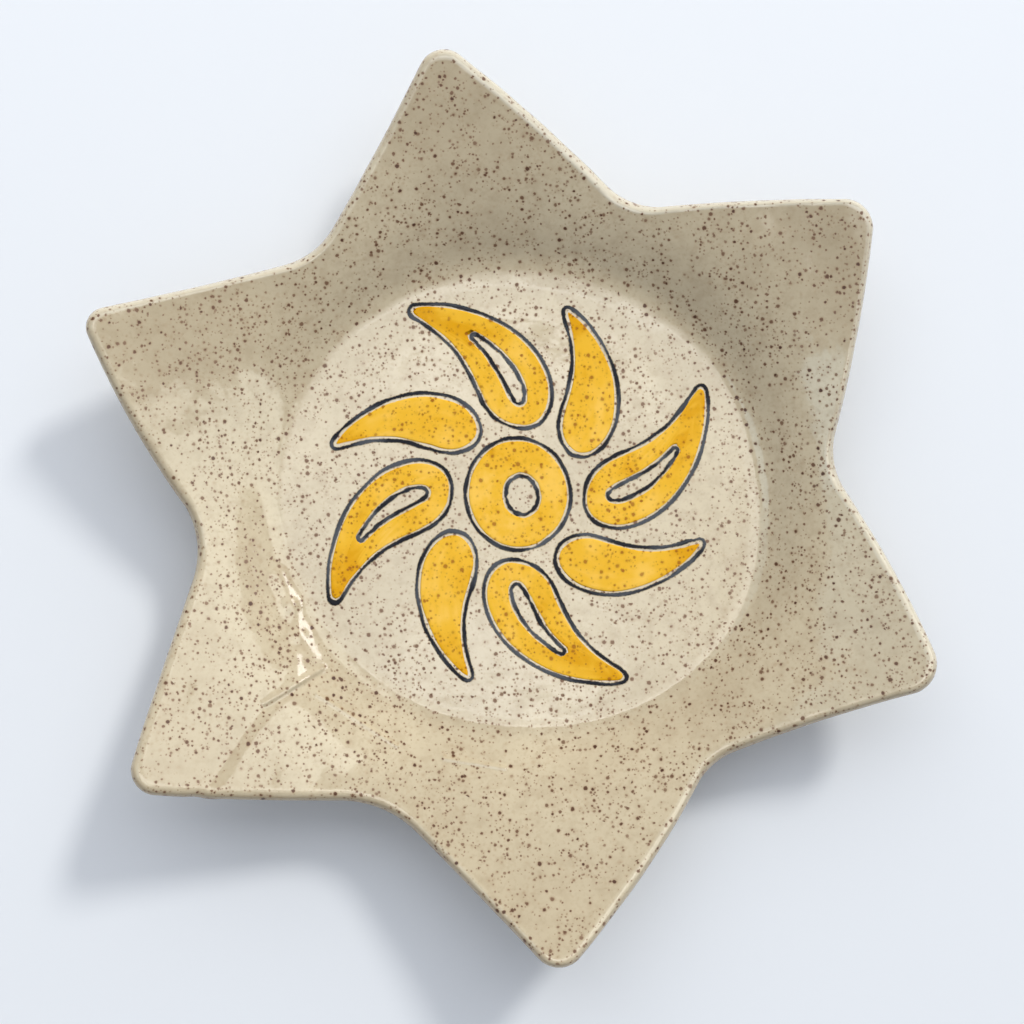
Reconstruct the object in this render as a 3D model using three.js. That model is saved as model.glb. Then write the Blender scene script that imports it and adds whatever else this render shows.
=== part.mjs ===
// A six-pointed star dish of speckled stoneware. A clay slab rises from a round flat well to six
// lifted points, and stands on a low foot ring. A sun of amber glaze fields with dark blue
// outlines is painted on the floor of the well.
// Millimetres, +Z up. The dish stands on z = 0 and the origin is under the middle of its plan box.
// Plan angles run counter-clockwise from +X, and one point of the star looks towards +Y.

import * as THREE from 'three';
import { mergeVertices } from 'three/addons/utils/BufferGeometryUtils.js';

// The star's plan. Reaches are from the centre of the well to the sharp corner of the plan,
// before the corner is rounded.
const POINT_COUNT = 6;
const TIP_REACH = 122.5;
const VALLEY_REACH = 84.5;
const TIP_ROUND_R = 7;
const VALLEY_ROUND_R = 22;

// How far each hand-cut corner strays from the even star: more reach in mm, turn in degrees.
// The first is the corner nearest +Y, and the rest follow counter-clockwise.
const TIP_STRAY = [[-3.5, 2.5], [0, 0.5], [5, -0.5], [3.5, -2.5], [-1, -1], [-3, 1.5]];
const VALLEY_STRAY = [[-2.5, 3], [-0.5, 1.5], [4, -0.5], [2.5, -1], [-1.5, -2], [-3.5, 0.5]];

// The slab and its section, from the well outwards: a flat floor, a hollow bend up to the
// steepest slope of the wall, then a slow ease to the flatter slope at the points.
const SLAB_T = 5.5;
const LIP_NOSE = 2.2;
const WELL_FLAT_R = 60;
const WELL_BEND_R = 20;
const WALL_SLOPE_DEG = 33;
const TIP_SLOPE_DEG = 12;

// The foot ring, a coil of clay joined face to face under the flat floor.
const FOOT_H = 3.5;
const FOOT_OUTER_R = 52;
const FOOT_W = 8;

// The painted sun: glaze fields, and raised outlines that stand a little way off them.
const FIELD_T = 0.5;
const LINE_T = 0.6;
const LINE_W = 1.4;
const LINE_GAP = 0.5;
const CENTRE_R = 13;
const CENTRE_OVAL = 1.08;
const EYE_R = 3.6;
const EYE_OVAL = 1.25;
const EYE_SHIFT = [1, -0.5];
const RAY_COUNT = 8;
const RAY_ROOT_GAP = 1.2;
const RAY_FLOOR_MARGIN = 1.0;
const LONG_RAY_HALF_W = 8.6;
const SHORT_RAY_HALF_W = 6.4;
const SHORT_RAY_DRAWN_IN = 6;
const RAY_SWIRL_DEG = 34;
const RAY_SWIRL_POWER = 1.3;
const RAY_LEAN = 0.35;
const RAY_TAPER = 0.78;
const SLIT_HALF_W = 1.4;
const SLIT_FROM = 0.16;
const SLIT_TO = 0.66;

// How finely curves are cut into flats.
const TIP_STEPS = 6;
const VALLEY_STEPS = 4;
const EDGE_STEPS = 4;
const BEND_STEPS = 3;
const WALL_STEPS = 3;
const NOSE_STEPS = 4;
const CONTOUR_STEPS = 32;
const RING_STEPS = 72;
const SLOPE_PROBE = 0.001;

const FLOOR_Z = FOOT_H + SLAB_T;

// Finishes, from the photograph.
const finish = {
  speckledGlaze: { color: 0xcdc0a0, roughness: 0.18, metalness: 0 },
  bareClay: { color: 0xb59a74, roughness: 0.85, metalness: 0 },
  amberGlaze: { color: 0xf4b234, roughness: 0.15, metalness: 0 },
  blueLine: { color: 0x2d344b, roughness: 0.25, metalness: 0 },
};

const dish = new THREE.Group();

function addPiece(name, geometry, look, z) {
  const mesh = new THREE.Mesh(geometry, new THREE.MeshStandardMaterial(look));
  mesh.name = name;
  mesh.position.z = z;
  dish.add(mesh);
  return mesh;
}

function polar(radius, angle) {
  return new THREE.Vector2(radius * Math.cos(angle), radius * Math.sin(angle));
}

// Joins vertices that coincide, so that the skin is one closed sheet.
function sealed(geometry) {
  geometry.deleteAttribute('normal');
  geometry.deleteAttribute('uv');
  return mergeVertices(geometry, 1e-4);
}

// The star's twelve corners: a point, then the valley that follows it counter-clockwise.
function starCorners() {
  const corners = [];
  const pitch = 360 / POINT_COUNT;
  for (let k = 0; k < POINT_COUNT; k += 1) {
    const [tipMore, tipTurn] = TIP_STRAY[k % TIP_STRAY.length];
    const [valleyMore, valleyTurn] = VALLEY_STRAY[k % VALLEY_STRAY.length];
    const tipAngle = THREE.MathUtils.degToRad(90 + k * pitch + tipTurn);
    const valleyAngle = THREE.MathUtils.degToRad(90 + (k + 0.5) * pitch + valleyTurn);
    corners.push({ at: polar(TIP_REACH + tipMore, tipAngle), round: TIP_ROUND_R,
      steps: TIP_STEPS, outward: 1 });
    corners.push({ at: polar(VALLEY_REACH + valleyMore, valleyAngle), round: VALLEY_ROUND_R,
      steps: VALLEY_STEPS, outward: -1 });
  }
  return corners;
}

// One corner rounded by an arc that touches both of its edges, as points with outward normals.
function roundedCorner(corner, before, after) {
  const back = before.at.clone().sub(corner.at).normalize();
  const ahead = after.at.clone().sub(corner.at).normalize();
  const halfAngle = Math.acos(back.dot(ahead)) / 2;
  const middle = back.clone().add(ahead).normalize();
  const centre = corner.at.clone().addScaledVector(middle, corner.round / Math.sin(halfAngle));
  const first = corner.at.clone().addScaledVector(back, corner.round / Math.tan(halfAngle));
  const startAngle = first.clone().sub(centre).angle();
  const sweep = corner.outward * (Math.PI - 2 * halfAngle);
  const arc = [];
  for (let i = 0; i <= corner.steps; i += 1) {
    const spoke = polar(1, startAngle + sweep * (i / corner.steps));
    arc.push({ at: centre.clone().addScaledVector(spoke, corner.round),
      normal: spoke.clone().multiplyScalar(corner.outward) });
  }
  return arc;
}

// The whole plan outline, counter-clockwise: each rounded corner, then points along the straight
// edge that runs to the next one.
function starOutline() {
  const corners = starCorners();
  const arcs = corners.map((corner, i) => roundedCorner(
    corner, corners.at(i - 1), corners[(i + 1) % corners.length]));
  return arcs.flatMap((arc, i) => {
    const leave = arc.at(-1);
    const arrive = arcs[(i + 1) % arcs.length][0];
    const edge = [];
    for (let j = 1; j < EDGE_STEPS; j += 1) {
      edge.push({ at: leave.at.clone().lerp(arrive.at, j / EDGE_STEPS), normal: leave.normal });
    }
    return [...arc, ...edge];
  });
}

const wallSlope = THREE.MathUtils.degToRad(WALL_SLOPE_DEG);
const tipSlope = THREE.MathUtils.degToRad(TIP_SLOPE_DEG);
const wallStartR = WELL_FLAT_R + WELL_BEND_R * Math.sin(wallSlope);
const wallEaseR = (TIP_REACH - wallStartR) / (Math.sin(wallSlope) - Math.sin(tipSlope));

// The slope of the slab's top, as an angle, at a distance from the centre of the well.
function slopeAt(radius) {
  if (radius <= WELL_FLAT_R) return 0;
  if (radius <= wallStartR) return Math.asin((radius - WELL_FLAT_R) / WELL_BEND_R);
  return Math.asin(Math.sin(wallSlope) - (radius - wallStartR) / wallEaseR);
}

// The height of the slab's top over the floor: two arcs, the hollow one and the easing one.
function riseAt(radius) {
  const slope = slopeAt(radius);
  if (radius <= wallStartR) return WELL_BEND_R * (1 - Math.cos(slope));
  const bendRise = WELL_BEND_R * (1 - Math.cos(wallSlope));
  return bendRise + wallEaseR * (Math.cos(slope) - Math.cos(wallSlope));
}

// A point of the slab's top surface, and the direction square to the slab there.
function slabTop(x, y) {
  const radius = Math.hypot(x, y);
  const slope = slopeAt(radius);
  const lean = radius > 0 ? -Math.sin(slope) / radius : 0;
  return {
    at: new THREE.Vector3(x, y, riseAt(radius)),
    square: new THREE.Vector3(x * lean, y * lean, Math.cos(slope)),
  };
}

// The rounded lip at one outline point, from the top face round to the underside.
function lipPoints(sample) {
  const inner = sample.at.clone().addScaledVector(sample.normal, -LIP_NOSE);
  const { at, square } = slabTop(inner.x, inner.y);
  const out = new THREE.Vector3(sample.normal.x, sample.normal.y, 0);
  out.addScaledVector(square, -out.dot(square)).normalize();
  const middle = at.clone().addScaledVector(square, -SLAB_T / 2);
  const points = [];
  for (let i = 0; i <= NOSE_STEPS; i += 1) {
    const turn = Math.PI / 2 - Math.PI * (i / NOSE_STEPS);
    points.push(middle.clone()
      .addScaledVector(out, LIP_NOSE * Math.cos(turn))
      .addScaledVector(square, SLAB_T / 2 * Math.sin(turn)));
  }
  return points;
}

// The radii at which the slab is cut into rings, from the floor's edge to just inside the lip.
function ringRadii(lipRadius) {
  const radii = [];
  for (let i = 0; i <= BEND_STEPS; i += 1) {
    radii.push(WELL_FLAT_R + WELL_BEND_R * Math.sin(wallSlope * i / BEND_STEPS));
  }
  for (let i = 1; i < WALL_STEPS; i += 1) {
    radii.push(THREE.MathUtils.lerp(wallStartR, lipRadius, i / WALL_STEPS));
  }
  return radii;
}

// Skins a stack of rings that all have the same count of points. The first and last rings are
// closed by a fan to a point in their middle.
function skinnedRings(rings, firstMiddle, lastMiddle) {
  const count = rings[0].length;
  const vertices = [firstMiddle, ...rings.flat(), lastMiddle];
  const last = vertices.length - 1;
  const index = [];
  for (let k = 0; k < count; k += 1) {
    const next = (k + 1) % count;
    index.push(0, 1 + k, 1 + next);
    for (let ring = 0; ring < rings.length - 1; ring += 1) {
      const a = 1 + ring * count;
      const b = a + count;
      index.push(a + k, b + k, b + next, a + k, b + next, a + next);
    }
    const base = 1 + (rings.length - 1) * count;
    index.push(last, base + next, base + k);
  }
  const geometry = new THREE.BufferGeometry().setFromPoints(vertices);
  geometry.setIndex(index);
  return geometry;
}

// The slab, with its floor top at z = 0. Each outline point gives one column of points: over the
// top, round the lip and back underneath, one slab thickness below the top.
function slabGeometry() {
  const columns = starOutline().map((sample) => {
    const lip = lipPoints(sample);
    const direction = Math.atan2(lip[0].y, lip[0].x);
    const stations = ringRadii(Math.hypot(lip[0].x, lip[0].y)).map((radius) => {
      const plan = polar(radius, direction);
      return slabTop(plan.x, plan.y);
    });
    const top = stations.map((station) => station.at);
    const under = stations.map((station) => station.at.clone()
      .addScaledVector(station.square, -SLAB_T));
    return [...top, ...lip, ...under.reverse()];
  });
  const rings = columns[0].map((point, i) => columns.map((column) => column[i]));
  return skinnedRings(rings, new THREE.Vector3(0, 0, 0), new THREE.Vector3(0, 0, -SLAB_T));
}

// A round ring of rectangular section, standing on z = 0.
function ringGeometry(outerRadius, width, height) {
  const innerRadius = outerRadius - width;
  const section = [
    new THREE.Vector2(innerRadius, 0),
    new THREE.Vector2(outerRadius, 0),
    new THREE.Vector2(outerRadius, height),
    new THREE.Vector2(innerRadius, height),
    new THREE.Vector2(innerRadius, 0),
  ];
  const ring = sealed(new THREE.LatheGeometry(section, RING_STEPS));
  return ring.rotateX(Math.PI / 2);
}

// Contours are functions of a turn from 0 to 2 pi, counter-clockwise. This one is an oval.
function oval(centreX, centreY, radius, stretch) {
  return (turn) => new THREE.Vector2(
    centreX + radius * Math.cos(turn), centreY + radius * stretch * Math.sin(turn));
}

// A flame: its middle line spirals out from the sun's centre, and its half-width swells fast from
// a round root and thins to a narrow tip. The span gives the stretch of the middle line it covers.
function flame(ray, halfWidth, span) {
  const middleAt = (share) => {
    const along = THREE.MathUtils.lerp(span[0], span[1], share);
    const turn = ray.swirl * (along ** RAY_SWIRL_POWER - RAY_LEAN);
    return polar(THREE.MathUtils.lerp(ray.root, ray.tip, along), ray.angle + turn);
  };
  const fullness = flamePeak();
  return (turn) => {
    const share = (1 - Math.cos(turn)) / 2;
    const early = Math.max(share - SLOPE_PROBE, 0);
    const late = Math.min(share + SLOPE_PROBE, 1);
    const along = middleAt(late).sub(middleAt(early)).normalize();
    const half = halfWidth * Math.sin(turn) * (1 - RAY_TAPER * share) / fullness;
    return middleAt(share).add(new THREE.Vector2(along.y, -along.x).multiplyScalar(half));
  };
}

// The largest value of sin(turn) * (1 - taper * share), which is a flame's widest place.
function flamePeak() {
  let peak = 0;
  for (let i = 1; i < CONTOUR_STEPS; i += 1) {
    const turn = Math.PI * i / CONTOUR_STEPS;
    peak = Math.max(peak, Math.sin(turn) * (1 - RAY_TAPER * (1 - Math.cos(turn)) / 2));
  }
  return peak;
}

// Points along a contour, moved outwards by a distance, square to the contour.
function grown(contour, distance) {
  const points = [];
  for (let i = 0; i < CONTOUR_STEPS; i += 1) {
    const turn = 2 * Math.PI * (i + 0.5) / CONTOUR_STEPS;
    const along = contour(turn + SLOPE_PROBE).sub(contour(turn - SLOPE_PROBE)).normalize();
    points.push(contour(turn).addScaledVector(new THREE.Vector2(along.y, -along.x), distance));
  }
  return points;
}

// A flat plate of even thickness with the given outline and holes, standing on z = 0.
function plateGeometry(outline, holes, thickness) {
  const shape = new THREE.Shape(outline);
  shape.holes = holes.map((hole) => new THREE.Path(hole));
  return sealed(new THREE.ExtrudeGeometry(shape, { depth: thickness, bevelEnabled: false }));
}

// An amber field fills its contour, less any bare patch. A patch's outline has the patch as its
// inner edge, and the field keeps the line gap to it.
function addField(name, contour, patches) {
  const holes = patches.map((patch) => grown(patch, LINE_W + LINE_GAP));
  addPiece(name, plateGeometry(grown(contour, 0), holes, FIELD_T), finish.amberGlaze, FLOOR_Z);
}

// An outline is a band of one line width that starts at a distance outside the contour.
function addLine(name, contour, distance) {
  const outer = grown(contour, distance + LINE_W);
  const inner = grown(contour, distance);
  addPiece(name, plateGeometry(outer, [inner], LINE_T), finish.blueLine, FLOOR_Z);
}

const slab = addPiece('star_dish', slabGeometry(), finish.speckledGlaze, FLOOR_Z);
addPiece('foot_ring', ringGeometry(FOOT_OUTER_R, FOOT_W, FOOT_H), finish.bareClay, 0);

const centre = oval(0, 0, CENTRE_R, CENTRE_OVAL);
const eye = oval(EYE_SHIFT[0], EYE_SHIFT[1], EYE_R, EYE_OVAL);
addField('amber_centre', centre, [eye]);
addLine('centre_outline', centre, LINE_GAP);
addLine('eye_outline', eye, 0);

// The rays start clear of the centre's outline and end inside the flat floor. Every second ray is
// shorter and slimmer. The long ones have a bare slit with an outline of its own.
const rayRoot = CENTRE_R * CENTRE_OVAL + 2 * (LINE_GAP + LINE_W) + RAY_ROOT_GAP;
const rayTip = WELL_FLAT_R - RAY_FLOOR_MARGIN - LINE_GAP - LINE_W;
for (let i = 0; i < RAY_COUNT; i += 1) {
  const isLong = i % 2 === 0;
  const ray = {
    angle: THREE.MathUtils.degToRad(90 + i * 360 / RAY_COUNT),
    root: rayRoot,
    tip: isLong ? rayTip : rayTip - SHORT_RAY_DRAWN_IN,
    swirl: THREE.MathUtils.degToRad(RAY_SWIRL_DEG),
  };
  const body = flame(ray, isLong ? LONG_RAY_HALF_W : SHORT_RAY_HALF_W, [0, 1]);
  const slits = isLong ? [flame(ray, SLIT_HALF_W, [SLIT_FROM, SLIT_TO])] : [];
  addField(`amber_ray_${i + 1}`, body, slits);
  addLine(`ray_outline_${i + 1}`, body, LINE_GAP);
  slits.forEach((slit) => addLine(`slit_outline_${i + 1}`, slit, 0));
}

// The origin goes under the middle of the slab's plan box.
const box = new THREE.Box3().setFromObject(slab);
dish.position.set(-(box.min.x + box.max.x) / 2, -(box.min.y + box.max.y) / 2, 0);

export default dish;
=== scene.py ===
import math

import bpy
import numpy as np
from mathutils import Matrix, Vector


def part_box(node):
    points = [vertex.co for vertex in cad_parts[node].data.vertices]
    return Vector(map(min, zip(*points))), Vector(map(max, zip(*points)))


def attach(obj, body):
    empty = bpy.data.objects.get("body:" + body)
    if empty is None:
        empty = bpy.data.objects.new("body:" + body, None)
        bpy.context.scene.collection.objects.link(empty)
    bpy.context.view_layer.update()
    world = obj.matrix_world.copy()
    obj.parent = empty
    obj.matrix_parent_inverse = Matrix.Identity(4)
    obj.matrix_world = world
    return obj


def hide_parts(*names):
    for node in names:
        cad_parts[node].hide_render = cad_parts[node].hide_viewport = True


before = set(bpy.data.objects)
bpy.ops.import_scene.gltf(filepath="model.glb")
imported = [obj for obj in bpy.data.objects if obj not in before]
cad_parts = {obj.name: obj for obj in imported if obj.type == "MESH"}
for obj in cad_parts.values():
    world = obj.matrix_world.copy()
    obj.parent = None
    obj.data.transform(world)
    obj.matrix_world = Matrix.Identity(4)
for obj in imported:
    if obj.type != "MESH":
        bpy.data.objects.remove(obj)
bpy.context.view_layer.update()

# The camera looks straight down on the dish, which lies turned a little counter-clockwise in the
# picture. The middle of the well is found from the foot ring under it.
CAMERA_HEIGHT = 0.478
TABLE_IN_PICTURE = 0.2826
DISH_TURN = math.radians(7.6)
WELL_IN_PICTURE = Vector((0.0016, 0.0049, 0.0))

foot_low, foot_high = (Vector(corner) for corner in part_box("foot_ring"))
well_middle = (foot_low + foot_high) / 2
to_picture = Matrix.Rotation(DISH_TURN, 3, "Z")
picture_middle = well_middle - to_picture.inverted() @ WELL_IN_PICTURE

camera_data = bpy.data.cameras.new("overhead")
camera_data.angle = 2 * math.atan(TABLE_IN_PICTURE / 2 / CAMERA_HEIGHT)
camera_data.clip_start = 0.01
camera = bpy.data.objects.new("overhead", camera_data)
camera.location = (picture_middle.x, picture_middle.y, CAMERA_HEIGHT)
camera.rotation_euler = (0, 0, -DISH_TURN)
bpy.context.collection.objects.link(camera)
bpy.context.scene.camera = camera
bpy.context.scene.view_settings.view_transform = "Standard"

# The table is a plain white sheet. The light is soft daylight: a pale sky all round, a wide bright
# side light and a soft beam from the upper right. The glaze also mirrors a window and a ceiling.
# Turns are counter-clockwise from the picture's right, and elevations are over the table.
TABLE_COLOUR = (0.835, 0.87, 0.925, 1)
TABLE_ROUGHNESS = 0.9
TABLE_SIZE = 6.0
SKY_COLOUR = (0.935, 0.975, 1.035, 1)
SKY_STRENGTH = 0.43
BEAM_COLOUR = (1.05, 1.02, 0.95)
BEAM_STRENGTH = 1.36
BEAM_SPREAD = math.radians(10)
BEAM_PLACE = (52, 36.3)
SIDE_PLACE = (84, 42)
SIDE_SIZE = (1.8, 1.2)
SIDE_BRIGHTNESS = 1.25
# Each mirrored panel lies level: name, middle to the right and up the picture and two sides, all
# in shares of its height over the table, then its turn, colour and brightness. The panels hang one
# over the other with small gaps, and where they overlap the ceiling is brighter.
MIRRORED = (("window", (1.000, -0.072), (0.67, 1.71), 59, (0.98, 1.0, 0.92), 3.5),
            ("window_foot", (0.317, -0.103), (0.07, 0.15), 59, (0.98, 1.0, 0.92), 3.5),
            ("bright_pane", (2.23, 1.135), (1.3, 1.3), 27, (1.0, 1.0, 1.0), 9.0),
            ("blue_wall", (-0.55, 0.115), (0.60, 0.35), 0, (0.6, 0.9, 1.05), 1.1),
            ("blue_wall_low", (-0.635, -0.165), (0.43, 0.21), 0, (0.7, 0.95, 1.05), 2.4),
            ("ceiling", (0.007, -0.072), (0.475, 0.416), 0, (1.0, 1.0, 0.97), 1.5),
            ("ceiling_second", (-0.035, -0.042), (0.390, 0.356), 0, (1.0, 1.0, 0.97), 1.0),
            ("ceiling_third", (-0.065, -0.022), (0.330, 0.316), 0, (1.0, 1.0, 0.97), 0.8),
            ("ceiling_middle", (-0.090, -0.004), (0.280, 0.280), 0, (1.0, 1.0, 0.97), 0.7),
            ("ceiling_light", (-0.01, 0.112), (0.200, 0.056), 0, (1.0, 1.0, 1.0), 2.0),
            ("ceiling_low", (-0.005, -0.125), (0.150, 0.056), 0, (1.0, 1.0, 1.0), 2.5))
PANEL_GAP = 0.002
LIGHT_DISTANCE = 1.3


def direction(turn, elevation):
    """The unit vector towards a turn measured in the picture and an elevation over the table."""
    turn, elevation = math.radians(turn), math.radians(elevation)
    flat = Vector((math.cos(turn), math.sin(turn), 0)) * math.cos(elevation)
    return to_picture.inverted() @ (flat + Vector((0, 0, math.sin(elevation))))


def add_light(name, kind, place, distance):
    """A lamp at a distance from the well in a direction, looking back at the well."""
    towards = direction(*place)
    lamp = bpy.data.lights.new(name, kind)
    holder = bpy.data.objects.new(name, lamp)
    holder.rotation_euler = towards.to_track_quat("Z", "Y").to_euler()
    holder.location = well_middle + towards * distance
    bpy.context.collection.objects.link(holder)
    return holder, lamp


def set_panel(holder, lamp, size, brightness, lights_dish):
    """Makes the lamp a bright rectangle, with its size in shares of the light's distance, that
    either lights the dish softly or only shows in its glaze."""
    lamp.shape = "RECTANGLE"
    lamp.size, lamp.size_y = size[0] * LIGHT_DISTANCE, size[1] * LIGHT_DISTANCE
    lamp.energy = brightness * lamp.size * lamp.size_y * math.pi
    holder.visible_camera = False
    holder.visible_diffuse = lights_dish
    holder.visible_glossy = not lights_dish


table_mesh = bpy.data.meshes.new("table")
half = TABLE_SIZE / 2
table_mesh.from_pydata([(-half, -half, 0), (half, -half, 0), (half, half, 0), (-half, half, 0)],
                       [], [(0, 1, 2, 3)])
table = bpy.data.objects.new("table", table_mesh)
bpy.context.collection.objects.link(table)
table_paint = bpy.data.materials.new("table_paint")
table_paint.use_nodes = True
table_shader = table_paint.node_tree.nodes["Principled BSDF"]
table_shader.inputs["Base Color"].default_value = TABLE_COLOUR
table_shader.inputs["Roughness"].default_value = TABLE_ROUGHNESS
table_shader.inputs["Specular IOR Level"].default_value = 0.0
table_mesh.materials.append(table_paint)

sky = bpy.data.worlds.new("sky")
sky.use_nodes = True
sky.node_tree.nodes["Background"].inputs["Color"].default_value = SKY_COLOUR
sky.node_tree.nodes["Background"].inputs["Strength"].default_value = SKY_STRENGTH
bpy.context.scene.world = sky

beam_holder, beam = add_light("daylight_beam", "SUN", BEAM_PLACE, LIGHT_DISTANCE)
beam.energy = BEAM_STRENGTH
beam.angle = BEAM_SPREAD
beam.color = BEAM_COLOUR
beam_holder.visible_glossy = False

side_holder, side_light = add_light("side_light", "AREA", SIDE_PLACE, LIGHT_DISTANCE)
set_panel(side_holder, side_light, SIDE_SIZE, SIDE_BRIGHTNESS, True)
for step, (name, middle, size, turn, colour, brightness) in enumerate(MIRRORED):
    holder, lamp = add_light(name, "AREA", (0, 90), LIGHT_DISTANCE + step * PANEL_GAP)
    offset = to_picture.inverted() @ Vector((*middle, 0)) * LIGHT_DISTANCE
    holder.location = holder.location + offset
    holder.rotation_euler = (0, 0, math.radians(turn) - DISH_TURN)
    lamp.color = colour
    set_panel(holder, lamp, size, brightness, False)

# The dish is one rolled slab of speckled stoneware, cut to a star by hand and bent up round a flat
# well. Its edge is sponged round, and the whole of it is dipped in a clear glossy glaze.
# Lengths are in millimetres from the middle of the well; mesh_object turns them into metres.
# Each corner of the cut star is given by its reach, its turn in degrees and its rounding, and each
# side between two corners bows out by its own amount.
TIPS = [(120.2, 92.5, 7.0), (123.4, 150.4, 5.5), (128.4, 209.6, 7.0),
        (127.1, 267.6, 7.5), (122.3, 328.9, 8.5), (120.6, 31.7, 8.0)]
VALLEYS = [(82.4, 122.8, 22), (84.3, 181.3, 25), (89.0, 239.5, 31),
           (87.7, 299.1, 21), (83.3, 358.2, 21), (81.7, 60.6, 20)]
EDGE_BOWS = [-0.3, -0.2, 1.5, 0.3, 0.6, -0.1, 1.5, -0.6, 1.0, 1.1, 0.6, 0.9]
SLAB_T = 5.5
# How far the sponge rounded the lip of each of the twelve sides, counter-clockwise from the lower
# side of the picture's upper right point. Where the lip faces down the picture, away from the beam,
# the lower part of its nose and its underside are painted browner as a painted shade, and where it
# faces up to the right, towards the beam, it is painted pale as a painted highlight.
LIP_NOSES = [0.85, 1.1, 1.9, 1.6, 0.95, 2.4, 2.0, 2.7, 1.9, 2.0, 2.1, 1.5]
LIP_FIRST_TURN = math.radians(22.6)
LIP_SHADED_TURN = math.radians(265)
LIP_HIGHLIGHT_TURN = math.radians(48)
LIP_FADE = 0.3
LIP_FULLNESS = 0.9
LIP_PAINTED_SHADE = 2.2
LEAN_AT = 0.97
# The wall's slope in degrees at distances from the middle of the well: flat in the well, a tight
# bend, the steepest part just outside it, and an easier slope out to the points.
WALL_R = [62, 63.5, 65, 67, 69, 71, 75, 79, 84, 90, 96, 104, 112, 124, 132]
WALL_SLOPES = [0, 4, 10, 22, 31, 35, 34, 29, 24, 20, 19, 20.5, 20, 17, 15]
# At each twelfth of a turn from the picture's right: how much nearer the middle the bend starts,
# and the rise of the gentle ramp that leads up to it between two distances from the middle.
BEND_STRAY = [1.5, 1, 2.5, 3, 3, 1, 0, 2, 1.5, 2.5, -1.5, -5]
RAMP_RISE = [0.3, 1.2, 2.3, 2.4, 2.0, 0.6, 0, 0, 0, 0, 0, 0]
RAMP_SPAN = (50, 70)
STRAY_BEGINS, STRAY_ENDS = (42, 54), (60, 98)
# The hand's unevenness: height, length from wave to wave, and the seed of its random waves.
FLOOR_UNEVEN = (0.07, 40, 1)
WALL_UNEVEN = ((0.35, 46, 2), (0.12, 15, 3))
WALL_SPAN = (50, 85)
# Wide folds and fine creases that the hand left where the wall was bent up: both ends, height,
# and half-width.
FOLDS = np.array([
    (-66.6, -13.5, -64.4, -21.5, 0.80, 2.2), (-64.1, -21.5, -63.2, -29.3, 0.64, 2.4),
    (-62.8, -30.4, -60.3, -36.0, 0.44, 2.4), (-65.0, -36.2, -65.4, -41.6, 0.50, 2.2),
    (-73.9, -46.5, -89.4, -63.5, -0.38, 2.4)])
CREASES = (
    (-58.5, -39.5, -73.5, -46.0, 0.36, 0.9), (-58.3, -41.0, -73.3, -47.3, -0.26, 0.9),
    (-60.0, -46.0, -41.0, -62.5, 0.36, 0.6), (-29.0, -67.5, -13.2, -72.3, 0.42, 0.6))
# The glaze is thin on the points, and the colour is darker and browner along some lines on the
# walls, each given as both ends of a line, how much darker it is there, and half-width.
THIN_SPAN = (76, 108)
DARKER_WALL_LINES = np.array([
    (7.1, -75.7, 46.1, -60.3, 0.9, 9.0), (46.1, -60.3, 70.2, -29.2, 0.7, 8.0)])
EDGE_SAMPLES = 900
ARC_SAMPLES = 24
FLOOR_RINGS = 12
WALL_RINGS = 60
NOSE_RINGS = 12
UNDER_RINGS = 16
INNER_GRID_R = 56.0
SLOPE_STEP = 0.05
SOFTENING_STEPS = 20
MM = 0.001

floor_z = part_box("amber_centre")[0][2] / MM
wall_steps = np.arange(WALL_R[0] - 2, WALL_R[-1], SLOPE_STEP)
wall_slopes = np.interp(wall_steps, WALL_R, WALL_SLOPES)
softening = np.hanning(2 * SOFTENING_STEPS + 1)
wall_slopes = np.pad(wall_slopes, SOFTENING_STEPS, mode="edge")
wall_slopes = np.convolve(wall_slopes, softening / softening.sum(), "valid")
wall_heights = np.concatenate([[0], np.cumsum(np.tan(np.radians(wall_slopes[:-1])) * SLOPE_STEP)])


def smooth_step(low, high, value):
    """0 up to low, 1 from high on, and an S-shaped cubic between them."""
    share = np.clip((value - low) / (high - low), 0, 1)
    return share * share * (3 - 2 * share)


def hand_waves(x, y, length, seed):
    """Gentle unevenness between about -1 and 1: the mean of seven plane waves of about the given
    length, each with its own direction and start."""
    draw = np.random.default_rng(seed)
    turn = draw.uniform(0, 2 * np.pi, 7)
    start = draw.uniform(0, 2 * np.pi, 7)
    rate = 2 * np.pi / (length * draw.uniform(0.75, 1.35, 7))
    phase = (x[..., None] * np.cos(turn) + y[..., None] * np.sin(turn)) * rate + start
    return np.cos(phase).mean(axis=-1) * 1.6


def near_lines(lines, x, y):
    """The sum of some rows' values at each point. A row gives both ends of a line, a value and a
    half-width, and its value fades by a bell curve of the distance to the line."""
    start, run = lines[:, 0:2], lines[:, 2:4] - lines[:, 0:2]
    off = np.stack([x, y], axis=-1)[..., None, :] - start
    share = np.clip((off * run).sum(axis=-1) / (run**2).sum(axis=1), 0, 1)
    gap = np.linalg.norm(off - share[..., None] * run, axis=-1)
    return (lines[:, 4] * np.exp(-(gap / lines[:, 5])**2)).sum(axis=-1)


def wall_rise(radius):
    """The wall's height over the floor: the sum of its slopes from the well outwards, softened
    where one slope meets the next."""
    return np.interp(radius, wall_steps, wall_heights)


def round_the_well(twelve, x, y, first_turn=0.0, reach=0.10):
    """A value in the direction of each point: the mean of twelve listed values, each weighed by a
    bell curve of the turn between its direction and the point's."""
    turn = np.arctan2(y, x)[..., None] + DISH_TURN - first_turn - np.arange(12) * np.pi / 6
    weight = np.exp((np.cos(turn) - 1) / reach)
    return (weight * twelve).sum(axis=-1) / weight.sum(axis=-1)


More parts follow.
